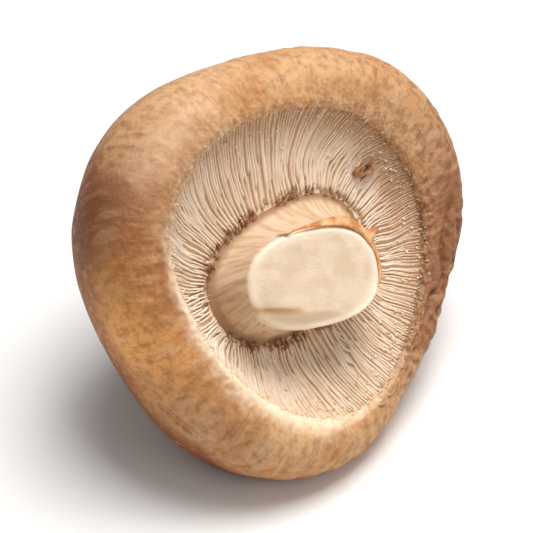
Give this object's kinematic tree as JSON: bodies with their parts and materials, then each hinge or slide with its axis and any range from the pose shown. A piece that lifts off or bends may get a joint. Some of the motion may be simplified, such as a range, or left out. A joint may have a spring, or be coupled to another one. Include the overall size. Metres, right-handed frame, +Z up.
{
  "type": "shiitake mushroom",
  "caption": "Fresh shiitake mushroom with an inrolled brown cap, pale gills and a trimmed stem, lying on the flank of its cap.",
  "frame": {"origin": "middle of the bounding box's footprint, on the surface that the mushroom lies on", "axes": "+Z up; the gill side faces -Y and upwards, with the stem's line 36 degrees above the surface; +X to the right as seen from the gill side"},
  "size_m": [0.0639, 0.0472, 0.0498],
  "materials": {
    "cap_skin": "satin",
    "gills": "matte",
    "stem_flesh": "matte"
  },
  "bodies": {
    "root": {"mushroom": "cap_skin"}
  },
  "joints": []
}
